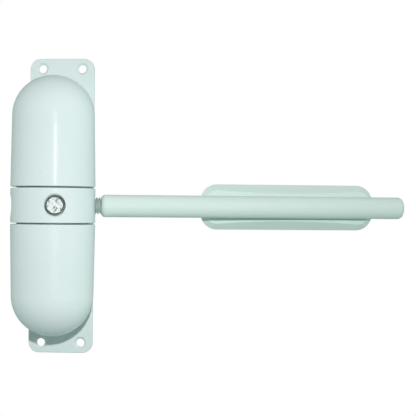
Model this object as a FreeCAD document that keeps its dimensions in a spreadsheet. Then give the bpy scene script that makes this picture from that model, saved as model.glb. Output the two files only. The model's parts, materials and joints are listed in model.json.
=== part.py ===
import FreeCAD, Part
import math
import os
import re

import Sketcher

# Surface-mounted spring door closer.
# Frame: the origin is the centre of the mounting plate's back face, at the
# collar's mid-height. +X runs towards the arm, +Z up, and -Y into the room.
# The turning axis of the closer is vertical, axis_offset in front of the origin.
# Pieces that turn about it are drawn about their own local Z axis, and the arm
# and its sleeve about their own local X axis.

doc = FreeCAD.newDocument("door_closer")

# --- driving dimensions, in millimetres and degrees --------------------------

SIZES = (
    ("plate_width", 38.5, "mounting plate, side to side"),
    ("plate_margin", 17.5, "mounting plate, its end past a cover's foot"),
    ("plate_thickness", 2.3, "mounting plate, sheet steel"),
    ("plate_corner", 6.2, "mounting plate, corner radius"),
    ("fixing_hole", 4.8, "fixing hole for a No. 8 wood screw"),
    ("fixing_sink", 7.4, "countersink of a fixing hole"),
    ("fixing_side", 7.35, "fixing hole's centre to the plate's side"),
    ("fixing_end", 6.0, "fixing hole's centre to the plate's end"),
    ("axis_gap", 0.7, "air between the collar and the plate's front face"),
    ("collar_radius", 24.3, "collar and the covers' open rims"),
    ("collar_height", 19.8, "collar"),
    ("collar_wall", 3.55, "collar, wall thickness"),
    ("hub_fit", 0.05, "radial room between the hub and the collar pressed on it"),
    ("edge_break", 0.4, "small chamfer on painted rims and turned ends"),
    ("seam", 0.8, "gap between the collar and each cover"),
    ("cover_draft", 0.7, "cover, narrowing from its rim to its round end"),
    ("cover_wall", 2.0, "cover, wall thickness"),
    ("dome_room", 2.1, "spindle's end to the inside of the round end"),
    ("foot_wall", 3.0, "cover, its foot on each side of the back opening"),
    ("foot_end", 7.4, "cover, its foot past the back opening"),
    ("foot_corner", 6.0, "cover, corner radius of its foot"),
    ("channel_side_room", 0.5, "cover's back opening beside the bracket"),
    ("channel_end_room", 0.6, "cover's back opening past the bracket"),
    ("boss_width", 12.0, "cover, screw boss near the rim"),
    ("boss_depth", 7.0, "cover, depth of the screw boss"),
    ("boss_room", 1.2, "hub's end face to the screw boss"),
    ("boss_near", 4.0, "screw boss, from its screw towards the collar"),
    ("boss_far", 3.8, "screw boss, from its screw away from the collar"),
    ("boss_skin", 0.5, "screw boss, floor under its threaded hole"),
    ("outer_screw", 3.6, "cover screw past the back opening"),
    ("screw_shank", 4.0, "M4 countersunk screw, thread diameter"),
    ("screw_head", 7.2, "M4 countersunk screw, head diameter"),
    ("screw_point", 0.5, "M4 screw, chamfer of its point"),
    ("recess_reach", 1.9, "M4 screw, half length of its cross recess"),
    ("recess_half", 0.4, "M4 screw, half width of its cross recess"),
    ("recess_depth", 1.35, "M4 screw, depth of its cross recess"),
    ("screw_fit", 0.1, "radial room round a screw thread"),
    ("screw_flush", 0.1, "screw head below the plate's back face"),
    ("screw_end_room", 0.4, "room past a screw's point"),
    ("hub_height", 26.0, "drive hub"),
    ("press_room", 0.02, "radial room in a pressed joint"),
    ("bush_wall", 1.95, "bush, wall thickness"),
    ("bush_length", 8.0, "bush inside the hub"),
    ("bush_flange", 1.2, "bush, flange thickness"),
    ("bush_rim", 2.0, "bush, how far its flange stands out"),
    ("running_room", 0.03, "radial running clearance of the bushes"),
    ("socket_wall", 2.0, "hub, between its bore and an arm socket"),
    ("relief_step", 1.25, "relief round the mouth of a socket"),
    ("relief_depth", 3.2, "relief, its depth"),
    ("window_step", 0.95, "collar window, wider than a socket"),
    ("window_chamfer", 0.8, "collar window, chamfer"),
    ("thread_radius", 4.95, "thread of the arm and of the socket plugs, M10"),
    ("thread_fit", 0.1, "radial room round that thread"),
    ("plug_seat", 2.9, "socket's bottom to the plug"),
    ("plug_proud", 0.2, "socket plug's face past the hub"),
    ("plug_edge", 0.5, "socket plug, chamfer"),
    ("spindle_radius", 5.0, "spindle"),
    ("shoulder_room", 0.3, "mandrel to the spindle's shoulder"),
    ("spindle_end_radius", 4.0, "spindle, threaded ends, M8"),
    ("thread_proud", 1.1, "spindle, thread past its nut"),
    ("washer_rim", 1.5, "thrust washer, wider than the mandrel"),
    ("washer_thickness", 1.0, "thrust washer"),
    ("stack_room", 0.1, "axial room in the stack on the spindle"),
    ("loose_room", 0.1, "radial room of what slips over the spindle"),
    ("flange_room", 3.6, "mandrel's flange to the inside of the round end"),
    ("flange_rim", 3.5, "mandrel's flange past the spring's mean radius"),
    ("flange_thickness", 3.0, "mandrel, flange"),
    ("spring_room", 2.5, "radial room for the spring to wind down"),
    ("pin_boss_radius", 8.5, "mandrel, boss for the pin"),
    ("pin_boss_height", 4.7, "mandrel, boss for the pin"),
    ("pin_radius", 1.5, "spring pin through mandrel and spindle"),
    ("pin_edge", 0.3, "spring pin, chamfer"),
    ("pin_slit", 0.5, "spring pin, width of its slit"),
    ("wire_radius", 1.5, "torsion spring, wire"),
    ("coil_turns", 7.0, "torsion spring, number of turns"),
    ("coil_pitch", 3.4, "torsion spring, pitch"),
    ("bend_radius", 3.5, "torsion spring, bend into its legs"),
    ("hub_leg", 3.0, "spring leg, straight between the hub and its bend"),
    ("flange_leg", 1.2, "spring leg, straight between its bend and the flange"),
    ("leg_room", 0.4, "radial room round a spring leg"),
    ("leg_in_hub", 3.5, "spring leg, length inside the hub"),
    ("bracket_width", 19.0, "spindle bracket"),
    ("bracket_thickness", 6.0, "spindle bracket, upright"),
    ("bracket_foot", 12.5, "spindle bracket, its foot below the upright"),
    ("foot_thickness", 4.0, "spindle bracket, foot"),
    ("bracket_screw_rise", 5.0, "bracket screws from the foot's end"),
    ("bracket_screw_side", 4.3, "bracket screws from the foot's sides"),
    ("lock_washer_radius", 8.0, "washer under the spindle nut"),
    ("lock_washer_thickness", 1.6, "washer under the spindle nut"),
    ("nut_width", 13.0, "M8 spindle nut, across flats"),
    ("nut_height", 6.3, "M8 spindle nut"),
    ("arm_angle", 14.0, "arm at rest, past square towards the wall"),
    ("thread_shown", 3.1, "arm's thread past the collar"),
    ("thread_edge", 0.6, "arm's thread, chamfer at the rod"),
    ("rod_edge", 1.0, "arm, chamfer at both ends"),
    ("rod_radius", 4.0, "arm, plain rod"),
    ("rod_end", 205.5, "arm, end of the rod from the turning axis"),
    ("groove_inset", 7.0, "arm, retaining groove from the rod's end"),
    ("groove_length", 2.2, "arm, retaining groove"),
    ("groove_depth", 0.6, "arm, retaining groove"),
    ("sleeve_gap", 0.3, "arm's thread to its sleeve"),
    ("sleeve_wall", 2.44, "arm sleeve, wall thickness"),
    ("sleeve_lead", 1.5, "arm sleeve, chamfer of its near end"),
    ("sleeve_tip", 3.4, "arm sleeve, corner radius of its tip"),
    ("sleeve_room", 0.06, "radial running clearance of the sleeve"),
    ("tip_room", 0.5, "rod's end to the bottom of the sleeve's bore"),
    ("tip_wall", 3.5, "arm sleeve, thickness of its closed end"),
    ("rib_fit", 0.25, "radial room over the bottom of the groove"),
    ("rib_room", 0.3, "axial room beside the snap rib"),
    ("slide_length", 105.0, "slide plate"),
    ("slide_height", 27.2, "slide plate"),
    ("slide_corner", 10.0, "slide plate, corner radius"),
    ("slide_thickness", 6.5, "slide plate, middle"),
    ("slide_end_thickness", 3.9, "slide plate, ends"),
    ("slide_edge", 1.2, "slide plate, height of its upright edge"),
    ("slide_hole", 4.4, "slide plate, screw hole"),
    ("slide_sink", 8.0, "slide plate, countersink"),
    ("slide_hole_inset", 15.5, "slide plate, screw hole from its end"),
    ("slide_place", 136.5, "slide plate, centre when the door is shut"),
    ("slide_gap", 0.459192, "arm sleeve to the slide plate it leans on"),
    ("hinge_across", 28.0, "door hinge axis, right of the plate's centre"),
    ("hinge_out", 5.0, "door hinge axis, in front of the wall face"),
)

sizes = doc.addObject("Spreadsheet::Sheet", "Sizes")
for row, (alias, number, note) in enumerate(SIZES, start=1):
    sizes.set(f"A{row}", note)
    sizes.set(f"B{row}", str(number))
    sizes.setAlias(f"B{row}", alias)

# Worked-out sizes, each a formula on the cells above. Distances are from the
# turning axis, and heights from the collar's mid-height.
FORMULAS = (
    ("axis_offset", "plate_thickness + axis_gap + collar_radius", "axis to the wall face"),
    ("axis_depth", "axis_gap + collar_radius", "axis to the plate's front face"),
    ("seam_height", "collar_height / 2 + seam", "open rim of a cover"),
    ("hub_half", "hub_height / 2", "end face of the hub"),
    ("hub_radius", "collar_radius - collar_wall - hub_fit", "drive hub"),
    ("dome_radius", "collar_radius - cover_draft", "cover, radius of its round end"),
    ("flange_radius", "dome_radius - cover_wall - flange_room", "mandrel, flange"),
    ("coil_radius", "flange_radius - flange_rim", "torsion spring, mean radius"),
    ("mandrel_radius", "coil_radius - wire_radius - spring_room", "mandrel, tube"),
    ("washer_radius", "mandrel_radius + washer_rim", "thrust washer"),
    ("bore_radius", "spindle_radius + running_room + bush_wall + press_room", "hub, bore"),
    ("bush_flange_radius", "bore_radius + bush_rim", "bush, flange"),
    ("socket_bottom", "bore_radius + socket_wall", "arm socket, its bottom"),
    ("socket_radius", "thread_radius + thread_fit", "arm socket"),
    ("relief_radius", "socket_radius + relief_step", "relief round a socket"),
    ("window_radius", "socket_radius + window_step", "collar window"),
    ("plug_back", "socket_bottom + plug_seat", "socket plug, inner face"),
    ("plug_face", "hub_radius + plug_proud", "socket plug, outer face"),
    ("washer_bottom", "hub_half + bush_flange + stack_room", "thrust washer"),
    ("mandrel_bottom", "washer_bottom + washer_thickness + stack_room", "mandrel"),
    ("coil_bottom", "hub_half + hub_leg + bend_radius", "spring, first turn"),
    ("coil_top", "coil_bottom + coil_turns * coil_pitch", "spring, last turn"),
    ("leg_hole", "wire_radius + leg_room", "radius of the hole round a spring leg"),
    ("flange_bottom", "coil_top + bend_radius + flange_leg", "mandrel, flange"),
    ("flange_top", "flange_bottom + flange_thickness", "mandrel, flange"),
    ("pin_height", "flange_top + pin_boss_height / 2", "spring pin"),
    ("pin_boss_top", "flange_top + pin_boss_height", "mandrel, end of its boss"),
    ("spindle_shoulder", "pin_boss_top + shoulder_room", "spindle, shoulders"),
    ("bracket_top", "spindle_shoulder + bracket_thickness", "spindle bracket"),
    ("spindle_nut_bottom", "bracket_top + lock_washer_thickness", "spindle nut"),
    ("spindle_end", "spindle_nut_bottom + nut_height + thread_proud", "spindle, ends"),
    ("dome_centre", "spindle_end + dome_room + cover_wall - dome_radius", "round end"),
    ("foot_bottom", "spindle_shoulder - bracket_foot", "spindle bracket, foot"),
    ("bracket_screw_height", "foot_bottom + bracket_screw_rise", "bracket screws"),
    ("bracket_screw_span", "bracket_width - 2 * bracket_screw_side", "across"),
    ("boss_bottom", "hub_half + boss_room", "cover, near side of its boss"),
    ("cover_screw_low", "boss_bottom + boss_near", "cover screw near the collar"),
    ("channel_bottom", "cover_screw_low + boss_far", "cover's back opening"),
    ("channel_top", "bracket_top + channel_end_room", "cover's back opening"),
    ("channel_width", "bracket_width + 2 * channel_side_room", "cover's back opening"),
    ("cover_screw_high", "channel_top + outer_screw", "cover screw near the end"),
    ("saddle_width", "channel_width + 2 * foot_wall", "cover, foot"),
    ("saddle_top", "channel_top + foot_end", "cover, far end of its foot"),
    ("boss_hole", "boss_depth - boss_skin", "threaded hole in the boss"),
    ("cover_screw_length", "plate_thickness - screw_flush + boss_hole - screw_end_room", "M4"),
    ("foot_grip", "plate_thickness - screw_flush + foot_thickness", "plate and foot"),
    ("bracket_screw_length", "foot_grip - screw_end_room", "M4"),
    ("plate_height", "2 * ( saddle_top + plate_margin )", "mounting plate"),
    ("fixing_span_across", "plate_width - 2 * fixing_side", "fixing holes, across"),
    ("fixing_span_up", "plate_height - 2 * fixing_end", "fixing holes, up and down"),
    ("thread_start", "socket_bottom + loose_room", "arm, end of it in the hub"),
    ("thread_end", "collar_radius + thread_shown", "arm, end of its thread"),
    ("groove_start", "rod_end - groove_inset", "arm, retaining groove"),
    ("groove_end", "groove_start + groove_length", "arm, retaining groove"),
    ("groove_radius", "rod_radius - groove_depth", "arm, bottom of the groove"),
    ("sleeve_start", "thread_end + sleeve_gap", "arm sleeve, near end"),
    ("sleeve_bore", "rod_radius + sleeve_room", "arm sleeve, radius of its bore"),
    ("sleeve_radius", "sleeve_bore + sleeve_wall", "arm sleeve"),
    ("rib_start", "groove_start + rib_room", "arm sleeve, snap rib"),
    ("rib_end", "groove_end - rib_room", "arm sleeve, snap rib"),
    ("rib_radius", "groove_radius + rib_fit", "arm sleeve, snap rib"),
    ("bore_end", "rod_end + tip_room", "arm sleeve, bottom of its bore"),
    ("sleeve_end", "bore_end + tip_wall", "arm sleeve, round tip"),
    ("slide_hole_span", "slide_length - 2 * slide_hole_inset", "slide plate's holes"),
    ("slide_fall", "slide_thickness - slide_end_thickness", "slide plate, rise of its crown"),
    ("crown_radius", "( ( slide_length / 2 ) ^ 2 + slide_fall ^ 2 ) / ( 2 * slide_fall )", "its crown"),
)
for row, (alias, formula, note) in enumerate(FORMULAS, start=len(SIZES) + 1):
    sizes.set(f"A{row}", note)
    sizes.set(f"B{row}", "=" + formula)
    sizes.setAlias(f"B{row}", alias)
doc.recompute()

NAMES = {entry[0] for entry in SIZES + FORMULAS}


def linked(formula):
    """Turn cell names in a formula into references to the sheet."""
    return re.sub(
        r"[a-z_]+", lambda word: ("Sizes." if word[0] in NAMES else "") + word[0], formula
    )


def size(formula):
    """Value of a formula on the sheet."""
    return float(sizes.evalExpression(linked(formula)))


# --- modelling helpers -------------------------------------------------------


def new_body(label):
    body = doc.addObject("PartDesign::Body", label)
    body.Label = label
    return body


def origin_plane(body, role):
    return next(item for item in body.Origin.OriginFeatures if item.Role == role)


def new_sketch(body, plane, offset="0"):
    """Sketch on one of the body's own origin planes, moved along its normal."""
    sketch = body.newObject("Sketcher::SketchObject", "Profile")
    sketch.AttachmentSupport = [(origin_plane(body, plane), "")]
    sketch.MapMode = "FlatFace"
    if offset != "0":
        sketch.setExpression("AttachmentOffset.Base.z", linked(offset))
    return sketch


def locate(sketch, element, end, across, up):
    """Hold a point of the sketch at two distances from the sketch's origin."""
    for kind, axis, formula in (("DistanceX", -2, across), ("DistanceY", -1, up)):
        if formula == "0":
            sketch.addConstraint(Sketcher.Constraint("PointOnObject", element, end, axis))
            continue
        rule = Sketcher.Constraint(kind, -1, 1, element, end, size(formula))
        number = sketch.addConstraint(rule)
        sketch.setExpression(f"Constraints[{number}]", linked(formula))


def draw_outline(sketch, corners):
    """Closed outline. A corner is (across, up), and the edge that leaves it is straight,
    or with a third item, an arc of that radius that turns left."""
    start_points = [FreeCAD.Vector(size(c[0]), size(c[1]), 0) for c in corners]
    first = sketch.GeometryCount
    for index, corner in enumerate(corners):
        begin = start_points[index]
        finish = start_points[(index + 1) % len(corners)]
        if len(corner) == 2:
            sketch.addGeometry(Part.LineSegment(begin, finish), False)
            continue
        radius = size(corner[2])
        chord = finish - begin
        rise = math.sqrt(max(radius**2 - (chord.Length / 2) ** 2, 0.0))
        left = FreeCAD.Vector(-chord.y, chord.x, 0).normalize()
        centre = (begin + finish) * 0.5 + left * rise
        circle = Part.Circle(centre, FreeCAD.Vector(0, 0, 1), radius)
        turn_in = math.atan2(begin.y - centre.y, begin.x - centre.x)
        turn_out = math.atan2(finish.y - centre.y, finish.x - centre.x)
        sketch.addGeometry(Part.ArcOfCircle(circle, turn_in, turn_out), False)
    for index, corner in enumerate(corners):
        element = first + index
        following = first + (index + 1) % len(corners)
        sketch.addConstraint(Sketcher.Constraint("Coincident", element, 2, following, 1))
        locate(sketch, element, 1, corner[0], corner[1])
        if len(corner) == 3:
            rule = Sketcher.Constraint("Radius", element, size(corner[2]))
            number = sketch.addConstraint(rule)
            sketch.setExpression(f"Constraints[{number}]", linked(corner[2]))


def draw_circle(sketch, radius, across="0", up="0"):
    centre = FreeCAD.Vector(size(across), size(up), 0)
    circle = Part.Circle(centre, FreeCAD.Vector(0, 0, 1), size(radius))
    element = sketch.addGeometry(circle, False)
    locate(sketch, element, 3, across, up)
    number = sketch.addConstraint(Sketcher.Constraint("Radius", element, size(radius)))
    sketch.setExpression(f"Constraints[{number}]", linked(radius))


def box_corners(left, right, bottom, top):
    return [(left, bottom), (right, bottom), (right, top), (left, top)]


def rounded_corners(x, y, r):
    """Outline of a rectangle about the origin, from its half sizes and corner radius."""
    return [
        (x, f"-( {y} ) + {r}"),
        (x, f"{y} - {r}", r),
        (f"{x} - {r}", y),
        (f"-( {x} ) + {r}", y, r),
        (f"-( {x} )", f"{y} - {r}"),
        (f"-( {x} )", f"-( {y} ) + {r}", r),
        (f"-( {x} ) + {r}", f"-( {y} )"),
        (f"{x} - {r}", f"-( {y} )", r),
    ]


def feature(body, kind, sketch, **settings):
    """PartDesign feature of a sketch, with lengths given as formulas."""
    item = body.newObject("PartDesign::" + kind, kind)
    item.Profile = sketch
    for name, value in settings.items():
        if isinstance(value, str) and name not in ("Type", "Mode"):
            setattr(item, name, size(value))
            item.setExpression(name, linked(value))
        else:
            setattr(item, name, value)
    sketch.Visibility = False
    body.Tip = item
    return item


def turned(body, kind, sketch, axis="V_Axis"):
    """Revolution or Groove of a whole turn."""
    return feature(body, kind, sketch, ReferenceAxis=(sketch, [axis]), Angle=360.0)


def revolve(label, corners, axis="V_Axis"):
    """Body turned about its own Z axis, or its X axis for H_Axis."""
    body = new_body(label)
    sketch = new_sketch(body, "XZ_Plane")
    draw_outline(sketch, corners)
    turned(body, "Revolution", sketch, axis)
    return body


def repeat_round(body, item, count):
    """The same cut, repeated round the body's Z axis."""
    pattern = body.newObject("PartDesign::PolarPattern", "Pattern")
    pattern.Originals = [item]
    pattern.Axis = (origin_plane(body, "Z_Axis"), [""])
    pattern.Angle = 360.0
    pattern.Occurrences = count
    body.Tip = pattern


def place(item, forward="0", across="0", up="0", yaw=0.0, pitch=0.0, roll=0.0):
    """Put a piece in the closer's frame; its distances stay tied to the sheet."""
    item.Placement.Rotation = FreeCAD.Rotation(yaw, pitch, roll)
    for letter, formula in (("x", across), ("y", forward), ("z", up)):
        if formula != "0":
            item.setExpression(f"Placement.Base.{letter}", linked(formula))


def group(label, master, places):
    """Identical fasteners kept as one node: copies of the master's solid."""
    doc.recompute()
    copies = []
    for where in places:
        copy = master.Shape.copy()
        copy.Placement = where
        copies.append(copy)
    item = doc.addObject("Part::Feature", label)
    item.Label = label
    item.Shape = Part.makeCompound(copies)
    item.Placement = FreeCAD.Placement()
    return item


ON_AXIS = "-axis_offset"
TURN_OVER = 180.0
SOCKETS = 4
nodes = []

# --- mounting plate ----------------------------------------------------------

mounting_plate = new_body("mounting_plate")
outline = new_sketch(mounting_plate, "XZ_Plane")
draw_outline(outline, rounded_corners("plate_width / 2", "plate_height / 2", "plate_corner"))
feature(mounting_plate, "Pad", outline, Length="plate_thickness")
nodes.append(mounting_plate)


def countersunk(body, at, hole, sink, face, reverse):
    """Through holes with a right-angled countersink in the face they start from."""
    sketch = new_sketch(body, "XZ_Plane", face)
    for across, up in at:
        draw_circle(sketch, hole, across, up)
    doc.recompute()
    drill = body.newObject("PartDesign::Hole", "Drill")
    drill.Profile = sketch
    drill.ThreadType = 0
    drill.DepthType = "ThroughAll"
    drill.setExpression("Diameter", linked(f"2 * ( {hole} )"))
    drill.HoleCutType = "Countersink"
    drill.HoleCutCustomValues = True
    drill.HoleCutCountersinkAngle = 90.0
    drill.setExpression("HoleCutDiameter", linked(sink))
    drill.Reversed = reverse
    body.Tip = drill


FIXING_HOLES = [
    (f"{side} * fixing_span_across / 2", f"{end} * fixing_span_up / 2")
    for side in (-1, 1)
    for end in (-1, 1)
]
COVER_SCREWS = [
    ("0", f"{end} * {height}")
    for end in (-1, 1)
    for height in ("cover_screw_low", "cover_screw_high")
]
BRACKET_SCREWS = [
    (f"{side} * bracket_screw_span / 2", f"{end} * bracket_screw_height")
    for side in (-1, 1)
    for end in (-1, 1)
]
countersunk(
    mounting_plate, FIXING_HOLES, "fixing_hole / 2", "fixing_sink", "plate_thickness", False
)
SINK_SIZE = "screw_head + 2 * screw_fit + 2 * screw_flush"
countersunk(
    mounting_plate,
    COVER_SCREWS + BRACKET_SCREWS,
    "screw_shank / 2 + screw_fit",
    SINK_SIZE,
    "0",
    True,
)

# --- covers: domed shells with a foot that stands on the plate ---------------


def dome(wall):
    """Half profile of the cover, inside or outside, from the rim to the top."""
    rim = f"collar_radius - {wall}"
    ball = f"dome_radius - {wall}"
    return [
        ("0", "seam_height"),
        (rim, "seam_height"),
        (ball, "dome_centre", ball),
        ("0", f"dome_centre + {ball}"),
    ]


def make_cover(label):
    cover = new_body(label)
    shell = new_sketch(cover, "XZ_Plane")
    outside = dome("0")
    outside[1:2] = [
        ("collar_radius - edge_break", "seam_height"),
        ("collar_radius", "seam_height + edge_break"),
    ]
    draw_outline(shell, outside)
    turned(cover, "Revolution", shell)
    foot = new_sketch(cover, "XZ_Plane")
    half = "saddle_width / 2"
    draw_outline(
        foot,
        [
            (f"-( {half} )", "seam_height"),
            (half, "seam_height"),
            (half, "saddle_top - foot_corner", "foot_corner"),
            (f"{half} - foot_corner", "saddle_top"),
            (f"-( {half} ) + foot_corner", "saddle_top", "foot_corner"),
            (f"-( {half} )", "saddle_top - foot_corner"),
        ],
    )
    feature(cover, "Pad", foot, Length="axis_depth", Reversed=True)
    inside = new_sketch(cover, "XZ_Plane")
    draw_outline(inside, dome("cover_wall"))
    turned(cover, "Groove", inside)
    channel = new_sketch(cover, "XZ_Plane")
    draw_outline(
        channel,
        box_corners("-channel_width / 2", "channel_width / 2", "channel_bottom", "channel_top"),
    )
    feature(cover, "Pocket", channel, Type="ThroughAll")
    boss = new_sketch(cover, "XZ_Plane", "-axis_depth")
    draw_outline(
        boss, box_corners("-boss_width / 2", "boss_width / 2", "boss_bottom", "channel_bottom")
    )
    feature(cover, "Pad", boss, Length="boss_depth")
    tapped = new_sketch(cover, "XZ_Plane", "-axis_depth")
    for height in ("cover_screw_low", "cover_screw_high"):
        draw_circle(tapped, "screw_shank / 2 + screw_fit", "0", height)
    feature(cover, "Pocket", tapped, Length="boss_hole", Reversed=True)
    return cover


for label, pitch in (("upper_cover", 0.0), ("lower_cover", TURN_OVER)):
    cover = make_cover(label)
    place(cover, forward=ON_AXIS, pitch=pitch)
    nodes.append(cover)

# --- screws ------------------------------------------------------------------


def make_screw(label, length):
    """M4 countersunk screw with a cross recess; its head's face is at z = 0."""
    cone = "( screw_head - screw_shank ) / 2"
    screw = revolve(
        label,
        [
            ("0", f"-( {length} )"),
            ("screw_shank / 2 - screw_point", f"-( {length} )"),
            ("screw_shank / 2", f"-( {length} ) + screw_point"),
            ("screw_shank / 2", f"-( {cone} )"),
            ("screw_head / 2", "0"),
            ("0", "0"),
        ],
    )
    for wide, high in (("recess_reach", "recess_half"), ("recess_half", "recess_reach")):
        slot = new_sketch(screw, "XY_Plane")
        draw_outline(slot, box_corners(f"-{wide}", wide, f"-{high}", high))
        feature(screw, "Pocket", slot, Length="recess_depth")
    return screw


def screw_places(at):
    """Screws driven from the plate's back face, heads towards the wall."""
    driven = FreeCAD.Rotation(FreeCAD.Vector(1, 0, 0), -90)
    return [
        FreeCAD.Placement(
            FreeCAD.Vector(size(across), -size("screw_flush"), size(up)), driven
        )
        for across, up in at
    ]


cover_screw = make_screw("cover_screw", "cover_screw_length")
bracket_screw = make_screw("bracket_screw", "bracket_screw_length")
nodes.append(group("cover_screws", cover_screw, screw_places(COVER_SCREWS)))
nodes.append(group("bracket_screws", bracket_screw, screw_places(BRACKET_SCREWS)))

# --- spindle brackets --------------------------------------------------------


def make_bracket(label):
    """Angle bracket: an upright that holds the spindle's end, and a foot."""
    bracket = new_body(label)
    half = "bracket_width / 2"
    upright = new_sketch(bracket, "XY_Plane", "spindle_shoulder")
    draw_outline(
        upright,
        [
            (half, "0"),
            (half, "axis_depth"),
            (f"-( {half} )", "axis_depth"),
            (f"-( {half} )", "0", half),
            ("0", f"-( {half} )", half),
        ],
    )
    feature(bracket, "Pad", upright, Length="bracket_thickness")
    foot = new_sketch(bracket, "XY_Plane", "foot_bottom")
    draw_outline(
        foot, box_corners(f"-( {half} )", half, "axis_depth - foot_thickness", "axis_depth")
    )
    feature(bracket, "Pad", foot, Length="bracket_top - foot_bottom")
    eye = new_sketch(bracket, "XY_Plane", "bracket_top")
    draw_circle(eye, "spindle_end_radius + loose_room")
    feature(bracket, "Pocket", eye, Type="ThroughAll")
    tapped = new_sketch(bracket, "XZ_Plane")
    for side in ("-1", "1"):
        draw_circle(
            tapped,
            "screw_shank / 2 + screw_fit",
            f"{side} * bracket_screw_span / 2",
            "bracket_screw_height",
        )
    feature(bracket, "Pocket", tapped, Type="ThroughAll")
    return bracket


for label, pitch in (("upper_bracket", 0.0), ("lower_bracket", TURN_OVER)):
    bracket = make_bracket(label)
    place(bracket, forward=ON_AXIS, pitch=pitch)
    nodes.append(bracket)

# --- spindle, its washers and nuts -------------------------------------------

# The springs' legs, the pins and the spindle's cross holes share one heading,
# half way between two arm sockets.
HEADING = size("arm_angle") + 180.0 / SOCKETS

spindle = revolve(
    "spindle",
    [
        ("0", "-spindle_end"),
        ("spindle_end_radius - edge_break", "-spindle_end"),
        ("spindle_end_radius", "-spindle_end + edge_break"),
        ("spindle_end_radius", "-spindle_shoulder"),
        ("spindle_radius", "-spindle_shoulder"),
        ("spindle_radius", "spindle_shoulder"),
        ("spindle_end_radius", "spindle_shoulder"),
        ("spindle_end_radius", "spindle_end - edge_break"),
        ("spindle_end_radius - edge_break", "spindle_end"),
        ("0", "spindle_end"),
    ],
)
cross_holes = new_sketch(spindle, "YZ_Plane")
for end in ("-1", "1"):
    draw_circle(cross_holes, "pin_radius + press_room", "0", f"{end} * pin_height")
feature(spindle, "Pocket", cross_holes, Type="ThroughAll", Midplane=True)
place(spindle, forward=ON_AXIS, yaw=HEADING)
nodes.append(spindle)

lock_washer = revolve(
    "lock_washer",
    box_corners(
        "spindle_end_radius + loose_room", "lock_washer_radius", "0", "lock_washer_thickness"
    ),
)

nut = new_body("spindle_nut")
hexagon = new_sketch(nut, "XY_Plane")
NUT_CORNER = "nut_width / sqrt( 3 )"
draw_outline(
    hexagon,
    [
        (NUT_CORNER, "0"),
        (f"{NUT_CORNER} / 2", "nut_width / 2"),
        (f"-{NUT_CORNER} / 2", "nut_width / 2"),
        (f"-{NUT_CORNER}", "0"),
        (f"-{NUT_CORNER} / 2", "-nut_width / 2"),
        (f"{NUT_CORNER} / 2", "-nut_width / 2"),
    ],
)
feature(nut, "Pad", hexagon, Length="nut_height")
nut_bore = new_sketch(nut, "XY_Plane")
draw_circle(nut_bore, "spindle_end_radius + press_room")
feature(nut, "Pocket", nut_bore, Type="ThroughAll", Midplane=True)


def stack_places(height):
    """The same piece on the upper end of the spindle and, turned over, on the lower."""
    return [
        FreeCAD.Placement(
            FreeCAD.Vector(0, -size("axis_offset"), sign * size(height)),
            FreeCAD.Rotation(0, 0, roll),
        )
        for sign, roll in ((1, 0.0), (-1, TURN_OVER))
    ]


nodes.append(group("spindle_washers", lock_washer, stack_places("bracket_top")))
nodes.append(
    group("spindle_nuts", nut, stack_places("spindle_nut_bottom"))
)

# --- thrust washers, spring mandrels and pins --------------------------------


def make_thrust_washer(label):
    return revolve(
        label,
        box_corners(
            "spindle_radius + loose_room",
            "washer_radius",
            "washer_bottom",
            "washer_bottom + washer_thickness",
        ),
    )


def make_mandrel(label, leg_side):
    """Tube inside the spring, with a flange that holds the spring's outer leg."""
    mandrel = revolve(
        label,
        [
            ("spindle_radius + loose_room", "mandrel_bottom"),
            ("mandrel_radius", "mandrel_bottom"),
            ("mandrel_radius", "flange_bottom"),
            ("flange_radius", "flange_bottom"),
            ("flange_radius", "flange_top"),
            ("pin_boss_radius", "flange_top"),
            ("pin_boss_radius", "pin_boss_top"),
            ("spindle_radius + loose_room", "pin_boss_top"),
        ],
    )
    leg = new_sketch(mandrel, "XY_Plane", "flange_top")
    draw_circle(leg, "leg_hole", "coil_radius", f"{leg_side} * bend_radius")
    feature(
        mandrel, "Pocket", leg, Length="flange_thickness"
    )
    cross = new_sketch(mandrel, "YZ_Plane")
    draw_circle(cross, "pin_radius + press_room", "0", "pin_height")
    feature(mandrel, "Pocket", cross, Type="ThroughAll", Midplane=True)
    return mandrel


for level, roll, leg_side in (("upper", 0.0, 1), ("lower", TURN_OVER, -1)):
    thrust_washer = make_thrust_washer(f"{level}_thrust_washer")
    mandrel = make_mandrel(f"{level}_mandrel", leg_side)
    for item in (thrust_washer, mandrel):
        place(item, forward=ON_AXIS, yaw=HEADING, roll=roll)
        nodes.append(item)

pin = revolve(
    "mandrel_pin",
    [
        ("-pin_boss_radius", "pin_radius / 2"),
        ("pin_boss_radius", "pin_radius / 2"),
        ("pin_boss_radius", "pin_radius - pin_edge"),
        ("pin_boss_radius - pin_edge", "pin_radius"),
        ("-pin_boss_radius + pin_edge", "pin_radius"),
        ("-pin_boss_radius", "pin_radius - pin_edge"),
    ],
    "H_Axis",
)
pin_slit = new_sketch(pin, "XY_Plane")
draw_outline(
    pin_slit,
    box_corners("-2 * pin_boss_radius", "2 * pin_boss_radius", "-pin_slit / 2", "pin_slit / 2"),
)
feature(pin, "Pocket", pin_slit, Type="ThroughAll", Reversed=True)
nodes.append(
    group(
        "mandrel_pins",
        pin,
        [
            FreeCAD.Placement(
                FreeCAD.Vector(0, -size("axis_offset"), end * size("pin_height")),
                FreeCAD.Rotation(HEADING, 0, 0),
            )
            for end in (-1, 1)
        ],
    )
)

# --- torsion springs ---------------------------------------------------------


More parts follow.
